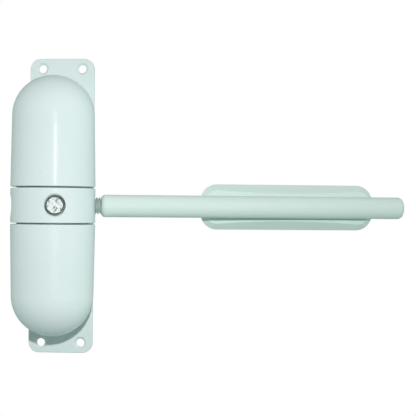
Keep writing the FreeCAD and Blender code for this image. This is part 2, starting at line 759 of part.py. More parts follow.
def make_spring(label, left_handed):
    """Close-wound coil with a leg into the hub and a leg into the mandrel's flange."""
    spring = new_body(label)
    wire = new_sketch(spring, "XZ_Plane")
    draw_circle(wire, "wire_radius", "coil_radius", "coil_bottom")
    coil = spring.newObject("PartDesign::AdditiveHelix", "Coil")
    coil.Profile = wire
    coil.ReferenceAxis = (origin_plane(spring, "Z_Axis"), [""])
    coil.Mode = "pitch-turns-angle"
    coil.setExpression("Pitch", linked("coil_pitch"))
    coil.setExpression("Turns", linked("coil_turns"))
    coil.LeftHanded = left_handed
    spring.Tip = coil
    side = "-1" if left_handed else "1"
    lower_leg_end = "hub_half - leg_in_hub"
    upper_leg_end = "flange_top"
    ends = (
        (f"-1 * {side}", "coil_bottom", "-1", lower_leg_end),
        (side, "coil_top", "1", upper_leg_end),
    )
    for across, height, away, leg_end in ends:
        # the leg: straight from its end, then a quarter bend into the coil
        path = new_sketch(spring, "YZ_Plane", "coil_radius")
        turn = f"{height} + {away} * bend_radius"
        reach = f"{across} * bend_radius"
        leg_foot = FreeCAD.Vector(size(reach), size(leg_end), 0)
        leg_head = FreeCAD.Vector(size(reach), size(turn), 0)
        straight = path.addGeometry(Part.LineSegment(leg_foot, leg_head), False)
        centre = FreeCAD.Vector(0, size(turn), 0)
        circle = Part.Circle(centre, FreeCAD.Vector(0, 0, 1), size("bend_radius"))
        at_side = 0.0 if size(across) > 0 else math.pi
        at_coil = -math.pi / 2 if size(away) > 0 else math.pi / 2
        low, high = sorted((at_side, at_coil))
        if high - low > math.pi:
            low, high = high, low + 2 * math.pi
        bend = path.addGeometry(Part.ArcOfCircle(circle, low, high), False)
        leg_end_of_bend = 1 if low == at_side else 2
        coil_end_of_bend = 3 - leg_end_of_bend
        locate(path, straight, 1, reach, leg_end)
        locate(path, straight, 2, reach, turn)
        rule = Sketcher.Constraint("Coincident", straight, 2, bend, leg_end_of_bend)
        path.addConstraint(rule)
        locate(path, bend, coil_end_of_bend, "0", height)
        number = path.addConstraint(Sketcher.Constraint("Radius", bend, size("bend_radius")))
        path.setExpression(f"Constraints[{number}]", linked("bend_radius"))
        tip = new_sketch(spring, "XY_Plane", leg_end)
        draw_circle(tip, "wire_radius", "coil_radius", reach)
        leg = spring.newObject("PartDesign::AdditivePipe", "Leg")
        leg.Profile = tip
        leg.Spine = (path, ["Edge1", "Edge2"])
        spring.Tip = leg
    return spring


for level, roll, left_handed in (("upper", 0.0, False), ("lower", TURN_OVER, True)):
    spring = make_spring(f"{level}_spring", left_handed)
    place(spring, forward=ON_AXIS, yaw=HEADING, roll=roll)
    nodes.append(spring)

# --- drive hub, bushes, collar and plugs -------------------------------------

drive_hub = revolve(
    "drive_hub",
    [
        ("bore_radius", "-hub_half"),
        ("hub_radius - edge_break", "-hub_half"),
        ("hub_radius", "-hub_half + edge_break"),
        ("hub_radius", "hub_half - edge_break"),
        ("hub_radius - edge_break", "hub_half"),
        ("bore_radius", "hub_half"),
    ],
)
socket = new_sketch(drive_hub, "XZ_Plane")
draw_outline(
    socket,
    [
        ("socket_bottom", "0"),
        ("2 * hub_radius", "0"),
        ("2 * hub_radius", "relief_radius"),
        ("hub_radius - relief_depth", "relief_radius"),
        ("hub_radius - relief_depth", "socket_radius"),
        ("socket_bottom", "socket_radius"),
    ],
)
repeat_round(drive_hub, turned(drive_hub, "Groove", socket, "H_Axis"), SOCKETS)
leg_hole = new_sketch(drive_hub, "XY_Plane", "hub_half")
HALF_STEP = f"{180 / SOCKETS} deg"
draw_circle(
    leg_hole,
    "leg_hole",
    f"coil_radius * cos({HALF_STEP}) + bend_radius * sin({HALF_STEP})",
    f"coil_radius * sin({HALF_STEP}) - bend_radius * cos({HALF_STEP})",
)
feature(drive_hub, "Pocket", leg_hole, Type="ThroughAll")
place(drive_hub, forward=ON_AXIS, yaw=size("arm_angle"))
nodes.append(drive_hub)


def make_bush(label):
    inner = "spindle_radius + running_room"
    outer = "bore_radius - press_room"
    return revolve(
        label,
        [
            (inner, "hub_half - bush_length"),
            (outer, "hub_half - bush_length"),
            (outer, "hub_half"),
            ("bush_flange_radius", "hub_half"),
            ("bush_flange_radius", "hub_half + bush_flange"),
            (inner, "hub_half + bush_flange"),
        ],
    )


for level, roll in (("upper", 0.0), ("lower", TURN_OVER)):
    bush = make_bush(f"{level}_bush")
    place(bush, forward=ON_AXIS, yaw=size("arm_angle"), roll=roll)
    nodes.append(bush)

collar = revolve(
    "collar",
    [
        ("collar_radius - collar_wall", "-collar_height / 2"),
        ("collar_radius - edge_break", "-collar_height / 2"),
        ("collar_radius", "-collar_height / 2 + edge_break"),
        ("collar_radius", "collar_height / 2 - edge_break"),
        ("collar_radius - edge_break", "collar_height / 2"),
        ("collar_radius - collar_wall", "collar_height / 2"),
    ],
)
window = new_sketch(collar, "XZ_Plane")
draw_outline(
    window,
    [
        ("socket_bottom", "0"),
        ("2 * collar_radius", "0"),
        ("2 * collar_radius", "window_radius + window_chamfer + collar_radius"),
        ("collar_radius - window_chamfer", "window_radius"),
        ("socket_bottom", "window_radius"),
    ],
)
repeat_round(collar, turned(collar, "Groove", window, "H_Axis"), SOCKETS)
place(collar, forward=ON_AXIS, yaw=size("arm_angle"))
nodes.append(collar)

plug = revolve(
    "socket_plug",
    [
        ("plug_back", "0"),
        ("plug_face", "0"),
        ("plug_face", "thread_radius - plug_edge"),
        ("plug_face - plug_edge", "thread_radius"),
        ("plug_back + plug_edge", "thread_radius"),
        ("plug_back", "thread_radius - plug_edge"),
    ],
    "H_Axis",
)
nodes.append(
    group(
        "socket_plugs",
        plug,
        [
            FreeCAD.Placement(
                FreeCAD.Vector(0, -size("axis_offset"), 0),
                FreeCAD.Rotation(size("arm_angle") + spare * 360.0 / SOCKETS, 0, 0),
            )
            for spare in range(1, SOCKETS)
        ],
    )
)

# --- arm rod and its sleeve --------------------------------------------------

arm_rod = revolve(
    "arm_rod",
    [
        ("thread_start", "0"),
        ("rod_end", "0"),
        ("rod_end", "rod_radius - rod_edge"),
        ("rod_end - rod_edge", "rod_radius"),
        ("groove_end", "rod_radius"),
        ("groove_end", "groove_radius"),
        ("groove_start", "groove_radius"),
        ("groove_start", "rod_radius"),
        ("thread_end", "rod_radius"),
        ("thread_end", "thread_radius - thread_edge"),
        ("thread_end - thread_edge", "thread_radius"),
        ("thread_start + rod_edge", "thread_radius"),
        ("thread_start", "thread_radius - rod_edge"),
    ],
    "H_Axis",
)
arm_sleeve = revolve(
    "arm_sleeve",
    [
        ("sleeve_start", "sleeve_bore"),
        ("rib_start", "sleeve_bore"),
        ("rib_start", "rib_radius"),
        ("rib_end", "rib_radius"),
        ("rib_end", "sleeve_bore"),
        ("bore_end", "sleeve_bore"),
        ("bore_end", "0"),
        ("sleeve_end", "0"),
        ("sleeve_end", "sleeve_radius - sleeve_tip", "sleeve_tip"),
        ("sleeve_end - sleeve_tip", "sleeve_radius"),
        ("sleeve_start + sleeve_lead", "sleeve_radius"),
        ("sleeve_start", "sleeve_radius - sleeve_lead"),
    ],
    "H_Axis",
)
for item in (arm_rod, arm_sleeve):
    place(item, forward=ON_AXIS, yaw=size("arm_angle"))
    nodes.append(item)

# --- slide plate -------------------------------------------------------------

FLANK_SLOPE = -45.0

slide_plate = new_body("slide_plate")
outline = rounded_corners("slide_length / 2", "slide_height / 2", "slide_corner")
edge = new_sketch(slide_plate, "XZ_Plane")
draw_outline(edge, outline)
feature(slide_plate, "Pad", edge, Length="slide_edge")
flank = new_sketch(slide_plate, "XZ_Plane", "slide_edge")
draw_outline(flank, outline)
rise = feature(slide_plate, "Pad", flank, Length="slide_thickness - slide_edge")
rise.TaperAngle = FLANK_SLOPE
crown = new_sketch(slide_plate, "XY_Plane")
draw_outline(
    crown,
    [
        ("-slide_length / 2", "-slide_end_thickness", "crown_radius"),
        ("slide_length / 2", "-slide_end_thickness"),
        ("slide_length / 2", "-2 * slide_thickness"),
        ("-slide_length / 2", "-2 * slide_thickness"),
    ],
)
feature(slide_plate, "Pocket", crown, Type="ThroughAll", Midplane=True)
SLIDE_HOLES = [(f"{side} * slide_hole_span / 2", "0") for side in (-1, 1)]
# The sinks start level with the crown at their inner edges, so no skin is left over them.
SINK_EDGE = "( ( slide_hole_span - slide_sink ) / 2 )"
CROWN_THERE = f"crown_radius - sqrt( crown_radius ^ 2 - {SINK_EDGE} ^ 2 )"
SINK_FACE = f"slide_thickness - ( {CROWN_THERE} )"
countersunk(slide_plate, SLIDE_HOLES, "slide_hole / 2", "slide_sink", SINK_FACE, False)
doc.recompute()

# The plate is fixed to the door, so its place at rest is its place with the
# door shut, turned about the door's hinge until the arm's sleeve leans on it.
# There the crown's centre of curvature is one crown radius, the gap and one
# sleeve radius away from the arm's centre line.
arm_heading = math.radians(size("arm_angle"))
square = FreeCAD.Vector(-math.sin(arm_heading), math.cos(arm_heading), 0)
hinge = FreeCAD.Vector(size("hinge_across"), -size("hinge_out"), 0)
shut = FreeCAD.Vector(size("slide_place"), 0, 0)
crown_centre = shut + FreeCAD.Vector(0, size("crown_radius - slide_thickness"), 0)
lever = crown_centre - hinge
reach = size("crown_radius + slide_gap + sleeve_radius")
from_hinge = reach - square.dot(hinge + FreeCAD.Vector(0, size("axis_offset"), 0))
lean = arm_heading + math.pi / 2 - math.atan2(lever.y, lever.x)
lean -= math.acos(from_hinge / lever.Length)
swing = FreeCAD.Rotation(math.degrees(lean), 0, 0)
slide_plate.Placement = FreeCAD.Placement(hinge + swing.multVec(shut - hinge), swing)
nodes.append(slide_plate)

# --- check and write ---------------------------------------------------------

doc.recompute()
for item in doc.Objects:
    if "Invalid" in item.State or "Error" in item.State:
        raise RuntimeError(f"{item.Label} failed: {item.State}")
os.makedirs("parts", exist_ok=True)
for node in nodes:
    shape = node.Shape
    if shape.isNull() or not shape.isValid():
        raise RuntimeError(f"{node.Label} has no valid shape")
for node in nodes:
    node.Shape.exportStep(f"parts/{node.Label}.step")
print(len(nodes), "parts written")
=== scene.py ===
import json
import math

import bmesh
import bpy
from mathutils import Matrix, Vector


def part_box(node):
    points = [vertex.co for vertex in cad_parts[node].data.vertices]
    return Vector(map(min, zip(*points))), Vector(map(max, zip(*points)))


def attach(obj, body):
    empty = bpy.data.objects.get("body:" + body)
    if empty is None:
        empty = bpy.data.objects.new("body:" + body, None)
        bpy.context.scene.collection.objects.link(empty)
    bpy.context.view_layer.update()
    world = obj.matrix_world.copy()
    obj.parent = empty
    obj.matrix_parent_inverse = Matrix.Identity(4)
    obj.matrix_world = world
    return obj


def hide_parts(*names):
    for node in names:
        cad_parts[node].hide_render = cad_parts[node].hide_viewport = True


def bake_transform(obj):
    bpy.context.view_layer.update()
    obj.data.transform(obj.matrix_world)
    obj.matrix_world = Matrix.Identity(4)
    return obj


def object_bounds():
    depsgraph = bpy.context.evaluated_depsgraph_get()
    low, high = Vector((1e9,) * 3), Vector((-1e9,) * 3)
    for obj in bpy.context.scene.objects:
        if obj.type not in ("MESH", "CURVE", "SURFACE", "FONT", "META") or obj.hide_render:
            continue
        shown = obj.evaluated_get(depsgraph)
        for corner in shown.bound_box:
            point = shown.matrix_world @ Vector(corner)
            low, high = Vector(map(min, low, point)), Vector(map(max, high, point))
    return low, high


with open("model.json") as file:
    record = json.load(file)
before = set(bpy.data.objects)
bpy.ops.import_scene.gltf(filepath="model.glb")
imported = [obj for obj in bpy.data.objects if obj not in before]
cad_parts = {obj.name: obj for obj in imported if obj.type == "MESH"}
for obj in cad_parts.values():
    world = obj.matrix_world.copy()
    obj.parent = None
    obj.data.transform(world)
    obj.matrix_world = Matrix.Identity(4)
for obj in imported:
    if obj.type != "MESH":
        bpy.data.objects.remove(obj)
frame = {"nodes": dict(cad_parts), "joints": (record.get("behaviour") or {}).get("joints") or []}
cad_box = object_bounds()

# ---------------------------------------------------------------------------
# Mounting plate.
# A stamped sheet of steel with round corners, stove-enamelled pale mint white.
# Four countersunk holes take the wood screws, and eight more open to the back.


class Wire:
    """A shader socket in an expression, where each operator adds a Math node."""

    def __init__(self, nodes, socket):
        self.nodes = nodes
        self.socket = socket

    def maths(self, operation, left, right):
        return self.nodes.node("ShaderNodeMath", {"operation": operation}, {0: left, 1: right})

    def __add__(self, other):
        return self.maths("ADD", self, other)

    def __radd__(self, other):
        return self.maths("ADD", other, self)

    def __rsub__(self, other):
        return self.maths("SUBTRACT", other, self)

    def __mul__(self, other):
        return self.maths("MULTIPLY", self, other)

    def __rmul__(self, other):
        return self.maths("MULTIPLY", other, self)


class Nodes:
    """A node tree that is built by its one method for adding a node."""

    def __init__(self, tree):
        self.tree = tree

    def feed(self, socket, value):
        if isinstance(value, Wire):
            self.tree.links.new(value.socket, socket)
        else:
            socket.default_value = value

    def node(self, kind, settings, sockets, output=0):
        """Add a node: its settings first, then the values or wires of its sockets."""
        node = self.tree.nodes.new(kind)
        for name, value in settings.items():
            if name == "stops":
                for stop, (position, grey) in zip(node.color_ramp.elements, value):
                    stop.position = position
                    stop.color = (grey, grey, grey, 1.0)
            else:
                setattr(node, name, value)
        for name, value in sockets.items():
            self.feed(node.inputs[name], value)
        return Wire(self, node.outputs[output])


class Finish(Nodes):
    """A procedural material on the standard shader."""

    def __init__(self, name, **constants):
        self.material = bpy.data.materials.new(name)
        self.material.use_nodes = True
        super().__init__(self.material.node_tree)
        self.shader = self.tree.nodes["Principled BSDF"]
        for label, value in constants.items():
            self.shader.inputs[label.replace("_", " ")].default_value = value

    def turned_place(self, heading=0.0, stretch=(1.0, 1.0, 1.0)):
        """Object coordinates, turned back by a heading about Z and then stretched."""
        raw = self.node("ShaderNodeTexCoord", {}, {}, "Object")
        level = self.node(
            "ShaderNodeMapping", {}, {"Vector": raw, "Rotation": (0.0, 0.0, -heading)}
        )
        return self.node("ShaderNodeMapping", {}, {"Vector": level, "Scale": stretch})

    def noise(self, place, size, detail=2.0):
        """Soft noise with features of about this size in metres, from 0 to 1."""
        sockets = {"Vector": place, "Scale": 1.0 / size, "Detail": detail}
        return self.node("ShaderNodeTexNoise", {}, sockets)

    def ramp(self, value, low, high):
        """0 below low, 1 above high."""
        return self.node(
            "ShaderNodeValToRGB", {"stops": [(low, 0.0), (high, 1.0)]}, {"Fac": value}
        )

    def mix(self, share, first, second):
        sockets = {0: share, 6: first, 7: second}
        return self.node("ShaderNodeMix", {"data_type": "RGBA"}, sockets, 2)

    def bump(self, height, distance):
        return self.node("ShaderNodeBump", {}, {"Height": height, "Distance": distance})

    def shade(self, **channels):
        for label, value in channels.items():
            self.feed(self.shader.inputs[label.replace("_", " ")], value)
        return self.material


MINT = (0.700, 0.815, 0.800, 1.0)
MINT_DEEP = (0.672, 0.796, 0.778, 1.0)


def enamel(name, roughness):
    """Stoved enamel: a slow drift of tone, orange peel, and fine dust under the gloss."""
    paint = Finish(name, IOR=1.5)
    place = paint.turned_place()
    drift = paint.noise(place, 0.030)
    peel = paint.noise(place, 0.0016)
    dust = paint.ramp(paint.noise(place, 0.0007, 0.0), 0.74, 0.80)
    rubbed = paint.noise(paint.turned_place(stretch=(1.0, 1.0, 0.25)), 0.004, 4.0)
    tone = paint.mix(paint.ramp(drift, 0.30, 0.70), MINT, MINT_DEEP)
    return paint.shade(
        Base_Color=paint.mix(dust * 0.20, tone, (0.42, 0.52, 0.50, 1.0)),
        Roughness=roughness - 0.03 + rubbed * 0.06,
        Normal=paint.bump(peel + dust * 0.4, 0.00003),
    )


def outline_block(corners, depth):
    """Closed block from an outline in the XZ plane, from y = 0 to y = -depth."""
    block = bmesh.new()
    ring = [block.verts.new((x, 0.0, z)) for x, z in corners]
    face = block.faces.new(ring)
    moved = bmesh.ops.extrude_face_region(block, geom=[face])["geom"]
    moved_verts = [item for item in moved if isinstance(item, bmesh.types.BMVert)]
    bmesh.ops.translate(block, verts=moved_verts, vec=(0.0, -depth, 0.0))
    bmesh.ops.recalc_face_normals(block, faces=block.faces)
    return block


def round_rectangle(half_width, half_height, radius, steps=10):
    """Corners of a rectangle about the origin whose corners are arcs."""
    corners = []
    for quarter, (side, end) in enumerate(((1, 1), (-1, 1), (-1, -1), (1, -1))):
        for step in range(steps + 1):
            turn = (quarter + step / steps) * math.pi / 2
            x = side * (half_width - radius) + radius * math.cos(turn)
            z = end * (half_height - radius) + radius * math.sin(turn)
            corners.append((x, z))
    return corners


def lathe(profile, steps=96):
    """Closed shape turned about Z. The profile is (radius, height) points, in order; one
    that starts and ends on the axis is solid, and any other is closed into a ring."""
    turned = bmesh.new()
    line = [turned.verts.new((radius, 0.0, height)) for radius, height in profile]
    edges = [turned.edges.new(pair) for pair in zip(line, line[1:])]
    if profile[0][0] > 0.0 or profile[-1][0] > 0.0:
        edges.append(turned.edges.new((line[-1], line[0])))
    bmesh.ops.spin(
        turned, geom=line + edges, cent=(0, 0, 0), axis=(0, 0, 1),
        angle=2 * math.pi, steps=steps, use_merge=True,
    )
    bmesh.ops.remove_doubles(turned, verts=turned.verts, dist=1e-7)
    bmesh.ops.recalc_face_normals(turned, faces=turned.faces)
    return turned


def soften(shape, width, sharpest=math.radians(30), segments=3):
    """Round every edge that is sharper than an angle."""
    sharp = [edge for edge in shape.edges if edge.calc_face_angle(0.0) > sharpest]
    bmesh.ops.bevel(
        shape, geom=sharp, offset=width, offset_type="OFFSET", segments=segments,
        profile=0.5, affect="EDGES", material=-1, clamp_overlap=True,
    )
    return shape


def combine(shape, tool, operation):
    """Unite two closed shapes, or cut the second from the first. The tool is used up."""
    pair = []
    for mesh_source in (shape, tool):
        mesh = bpy.data.meshes.new("blank")
        mesh_source.to_mesh(mesh)
        blank = bpy.data.objects.new("blank", mesh)
        bpy.context.scene.collection.objects.link(blank)
        pair.append(blank)
    step = pair[0].modifiers.new("combine", "BOOLEAN")
    step.operation = operation
    step.solver = "EXACT"
    step.object = pair[1]
    ready = pair[0].evaluated_get(bpy.context.evaluated_depsgraph_get())
    made = bpy.data.meshes.new_from_object(ready)
    shape.clear()
    shape.from_mesh(made)
    bmesh.ops.remove_doubles(shape, verts=shape.verts, dist=1e-6)
    bmesh.ops.dissolve_degenerate(shape, edges=shape.edges, dist=1e-6)
    tool.free()
    bpy.data.meshes.remove(made)
    for blank in pair:
        mesh = blank.data
        bpy.data.objects.remove(blank)
        bpy.data.meshes.remove(mesh)
    return shape


def gather(shapes):
    """Put separate closed shapes into one, so that one Boolean can take them all."""
    heap = bmesh.new()
    for shape in shapes:
        mesh = bpy.data.meshes.new("blank")
        shape.to_mesh(mesh)
        shape.free()
        heap.from_mesh(mesh)
        bpy.data.meshes.remove(mesh)
    return heap


def placed(shape, matrix):
    """Move and turn a shape, and hand it back."""
    bmesh.ops.transform(shape, matrix=matrix, verts=shape.verts)
    return shape


def finished(shape, name, material, crease=math.radians(32)):
    """Turn a bmesh into an object, smooth but for edges sharper than the crease. Normals
    are weighted by area, so a softened edge does not bend the light on a broad face."""
    mesh = bpy.data.meshes.new(name)
    shape.to_mesh(mesh)
    shape.free()
    mesh.materials.append(material)
    mesh.polygons.foreach_set("use_smooth", [True] * len(mesh.polygons))
    mesh.set_sharp_from_angle(angle=crease)
    item = bpy.data.objects.new(name, mesh)
    bpy.context.scene.collection.objects.link(item)
    weighted = item.modifiers.new("weighted", "WEIGHTED_NORMAL")
    weighted.keep_sharp = True
    ready = item.evaluated_get(bpy.context.evaluated_depsgraph_get())
    item.data = bpy.data.meshes.new_from_object(ready)
    item.data.name = name
    item.modifiers.clear()
    bpy.data.meshes.remove(mesh)
    return item


FACING_ROOM = Matrix.Rotation(math.pi / 2, 4, "X")  # turns +Z to -Y, into the room
plate_low, plate_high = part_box("mounting_plate")
plate_thickness = plate_high.y - plate_low.y
half_width = plate_high.x
half_height = plate_high.z
plate_corner = 0.0062
fixing_side, fixing_end = 0.00735, 0.0060  # hole centres from the plate's edges
fixing_hole, fixing_sink = 0.0024, 0.0037
screw_hole, screw_sink = 0.0021, 0.0038


def joint(name):
    """One of the frame's joints, by its name."""
    return next(entry for entry in frame["joints"] if entry["name"] == name)


axis = Vector(joint("arm_swing")["pos_m"])
plate = outline_block(round_rectangle(half_width, half_height, plate_corner), plate_thickness)
soften(plate, 0.0005, math.radians(50))
reach = plate_thickness * 2
sink_depth = fixing_sink - fixing_hole
drills = []
for side in (-1, 1):
    for end in (-1, 1):
        drill = lathe(
            [
                (0.0, -reach),
                (fixing_hole, -reach),
                (fixing_hole, plate_thickness - sink_depth),
                (fixing_sink, plate_thickness),
                (fixing_sink, reach),
                (0.0, reach),
            ],
            48,
        )
        x = side * (half_width - fixing_side)
        z = end * (half_height - fixing_end)
        drills.append(placed(drill, Matrix.Translation((x, 0, z)) @ FACING_ROOM))


def screw_centres(node):
    """Centres, across and up, of the separate screws that the frame holds in a node."""
    source = bmesh.new()
    source.from_mesh(frame["nodes"][node].data)
    bmesh.ops.remove_doubles(source, verts=source.verts, dist=1e-6)
    left = set(source.verts)
    centres = []
    while left:
        island = set()
        fresh = [left.pop()]
        while fresh:
            vert = fresh.pop()
            island.add(vert)
            linked = {edge.other_vert(vert) for edge in vert.link_edges} & left
            left -= linked
            fresh.extend(linked)
        low = [min(vert.co[k] for vert in island) for k in range(3)]
        high = [max(vert.co[k] for vert in island) for k in range(3)]
        centres.append(((low[0] + high[0]) / 2, (low[2] + high[2]) / 2))
    source.free()
    return sorted(centres)


sink_depth = screw_sink - screw_hole
for x, z in screw_centres("cover_screws") + screw_centres("bracket_screws"):
    drill = lathe(
        [
            (0.0, -plate_thickness),
            (screw_sink, -plate_thickness),
            (screw_sink, 0.0),
            (screw_hole, sink_depth),
            (screw_hole, reach),
            (0.0, reach),
        ],
        48,
    )
    drills.append(placed(drill, Matrix.Translation((x, 0, z)) @ FACING_ROOM))
combine(plate, gather(drills), "DIFFERENCE")
painted_plate = enamel("plate_enamel", 0.20)
mounting_plate = finished(plate, "enamelled_plate", painted_plate)
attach(mounting_plate, "housing")
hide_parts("mounting_plate")

# ---------------------------------------------------------------------------
# Upper and lower covers.
# Two die-cast domed shells, enamelled like the plate. Each narrows slightly to
# its round end, stands on the plate with a foot, and is open at the back.

seam_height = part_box("upper_cover")[0].z
cover_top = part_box("upper_cover")[1].z
rim_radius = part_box("upper_cover")[1].x
axis_depth = -axis.y - plate_thickness
cover_wall = 0.0020
dome_radius = rim_radius - 0.0007
dome_centre = cover_top - dome_radius
foot_half, foot_top, foot_corner = 0.0130, 0.0700, 0.0060
channel_half, channel_low, channel_high = 0.0100, 0.0220, 0.0626
boss_half, boss_low, boss_depth = 0.0060, 0.0142, 0.0070
boss_floor = 0.0005  # left solid at the end of each screw hole


def dome_profile(wall, start, steps=28):
    """Half section of a cover, a wall's thickness in, from a height to its round end."""
    ball = dome_radius - wall
    profile = [(0.0, start), (rim_radius - wall, start)]
    for step in range(steps + 1):
        turn = step / steps * math.pi / 2
        radius = ball * math.cos(turn) if step < steps else 0.0
        profile.append((radius, dome_centre + ball * math.sin(turn)))
    return profile


def box_block(left, right, near, far, low, high):
    """Closed box between two places across, two distances to the wall and two heights."""
    corners = [(right, high), (left, high), (left, low), (right, low)]
    return placed(outline_block(corners, far - near), Matrix.Translation((0, far, 0)))


shell = soften(lathe(dome_profile(0.0, seam_height), 128), 0.0006, math.radians(60))
foot_outline = [(foot_half, seam_height)]
for side, first in ((1, 0.0), (-1, math.pi / 2)):
    for step in range(9):
        turn = first + step / 8 * math.pi / 2
        foot_outline.append(
            (
                side * (foot_half - foot_corner) + foot_corner * math.cos(turn),
                foot_top - foot_corner + foot_corner * math.sin(turn),
            )
        )
foot_outline.append((-foot_half, seam_height))
foot = placed(outline_block(foot_outline, axis_depth), Matrix.Translation((0, axis_depth, 0)))
combine(shell, foot, "UNION")
hollow = lathe(dome_profile(cover_wall, seam_height - cover_wall), 128)
combine(shell, hollow, "DIFFERENCE")
channel = box_block(-channel_half, channel_half, 0.0, axis_depth * 2, channel_low, channel_high)
combine(shell, channel, "DIFFERENCE")
boss = box_block(-boss_half, boss_half, axis_depth - boss_depth, axis_depth, boss_low, channel_low)
combine(shell, boss, "UNION")
depth = boss_depth - boss_floor
profile = [(0.0, -depth), (screw_hole, -depth), (screw_hole, depth), (0.0, depth)]
drills = [
    placed(lathe(profile, 32), Matrix.Translation((x, axis_depth, z)) @ FACING_ROOM)
    for x, z in screw_centres("cover_screws")
    if z > 0.0
]
combine(shell, gather(drills), "DIFFERENCE")
painted_cover = enamel("cover_enamel", 0.16)
for name, roll in (("upper_cover", 0.0), ("lower_cover", math.pi)):
    copy = shell.copy()
    placed(copy, Matrix.Translation(axis) @ Matrix.Rotation(roll, 4, "Y"))
    cover = finished(copy, "domed_" + name, painted_cover)
    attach(cover, "housing")
    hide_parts(name)
shell.free()

# ---------------------------------------------------------------------------
# Cover screws and bracket screws.
# M4 countersunk steel screws with a cross recess, bright zinc plated. They are
# driven from behind, so the plate hides them once it is on the wall.


def metal(name, colour, shade, roughness, stretch=(1.0, 1.0, 1.0), heading=0.0, grain=0.0006):
    """Bare or plated metal: a soft blotch of tone, and fine grain in the surface."""
    steel = Finish(name, Metallic=1.0)
    place = steel.turned_place(heading)
    blotch = steel.ramp(steel.noise(place, 0.006, 3.0), 0.35, 0.68)
    lines = steel.noise(steel.turned_place(heading, stretch), grain, 3.0)
    return steel.shade(
        Base_Color=steel.mix(blotch, colour, shade),
        Roughness=roughness + blotch * 0.08 + lines * 0.10,
        Normal=steel.bump(lines, 0.000012),
    )


def thread(radius, pitch, start, end, steps=28):
    """Right-handed screw thread along Z, cut square at both ends."""
    root = radius - 0.6134 * pitch
    turns = math.ceil((end - start) / pitch) + 2
    first = start - pitch
    profile = ((root, 0.0), (root, 0.25), (radius, 0.5625), (radius, 0.6875), (root, 1.0))
    cut = bmesh.new()
    line = [cut.verts.new((r, 0.0, first + share * pitch)) for r, share in profile]
    edges = [cut.edges.new(pair) for pair in zip(line, line[1:])]
    bmesh.ops.spin(
        cut, geom=line + edges, cent=(0, 0, 0), axis=(0, 0, 1), dvec=(0, 0, pitch / steps),
        angle=2 * math.pi * turns, steps=steps * turns,
    )
    bmesh.ops.remove_doubles(cut, verts=cut.verts, dist=pitch * 1e-3)
    for height, direction in ((start, -1), (end, 1)):
        everything = list(cut.verts) + list(cut.edges) + list(cut.faces)
        bmesh.ops.bisect_plane(
            cut, geom=everything, plane_co=(0, 0, height), plane_no=(0, 0, direction),
            clear_outer=True,
        )
    open_edges = [edge for edge in cut.edges if edge.is_boundary]
    bmesh.ops.holes_fill(cut, edges=open_edges, sides=0)
    bmesh.ops.recalc_face_normals(cut, faces=cut.faces)
    return cut


BRIGHT_ZINC = (0.74, 0.80, 0.79, 1.0)
DULL_ZINC = (0.60, 0.68, 0.67, 1.0)
zinc = metal("zinc_plating", BRIGHT_ZINC, DULL_ZINC, 0.26)
shank, head = 0.0020, 0.0036
head_edge, neck_length, tip = 0.0001, 0.0004, 0.0005
screw_pitch, screw_flush = 0.0007, 0.0001
recess_reach, recess_half, recess_depth = 0.0019, 0.0004, 0.00135
for node in ("cover_screws", "bracket_screws"):
    low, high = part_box(node)
    length = high.y - low.y
    neck = head - shank + neck_length
    screw = lathe(
        [
            (0.0, 0.0),
            (head - head_edge, 0.0),
            (head, head_edge),
            (shank, head - shank),
            (shank, neck),
            (0.0, neck),
        ],
        40,
    )
    point = lathe(
        [
            (0.0, -tip),
            (shank * 1.5, -tip),
            (shank * 1.5, length - tip - shank / 2),
            (shank, length - tip),
            (shank - tip, length),
            (0.0, length),
        ],
        40,
    )
    threaded = combine(thread(shank, screw_pitch, neck / 2, length), point, "INTERSECT")
    combine(screw, threaded, "UNION")
    for wide, high_side in ((recess_reach, recess_half), (recess_half, recess_reach)):
        slot = box_block(-wide, wide, -recess_depth, recess_depth, -high_side, high_side)
        combine(screw, placed(slot, Matrix.Rotation(-math.pi / 2, 4, "X")), "DIFFERENCE")
    heap = bmesh.new()
    for x, z in screw_centres(node):
        mesh = bpy.data.meshes.new("screw")
        screw.to_mesh(mesh)
        mesh.transform(Matrix.Translation((x, -screw_flush, z)) @ FACING_ROOM)
        heap.from_mesh(mesh)
        bpy.data.meshes.remove(mesh)
    screw.free()
    screws = finished(heap, "zinc_" + node, zinc)
    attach(screws, "housing")
    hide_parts(node)

# ---------------------------------------------------------------------------
# Spindle, its brackets, and the spring mandrels with their pins.
# Pressed and turned mild steel, lightly oiled. The brackets hold the spindle's
# ends, and the mandrels, pinned to the spindle, hold the springs' outer ends.


def dress(node, material):
    """Give a piece of the frame a material and leave its shape alone."""
    frame["nodes"][node].material_slots[0].material = material


STEEL = (0.50, 0.52, 0.53, 1.0)
DARK_STEEL = (0.36, 0.38, 0.39, 1.0)
pressed_steel = metal("pressed_steel", STEEL, DARK_STEEL, 0.38)
turned_steel = metal("turned_steel", STEEL, DARK_STEEL, 0.30, (0.1, 0.1, 1.0), grain=0.0003)
for node, finish in (
    ("upper_bracket", pressed_steel),
    ("lower_bracket", pressed_steel),
    ("upper_mandrel", turned_steel),
    ("lower_mandrel", turned_steel),
    ("mandrel_pins", pressed_steel),
    ("spindle", turned_steel),
):
    dress(node, finish)

# ---------------------------------------------------------------------------
# Spindle washers and nuts.
# Plain washers and M8 hexagon nuts, zinc plated, at both ends of the spindle.

for node in ("spindle_washers", "spindle_nuts"):
    dress(node, zinc)
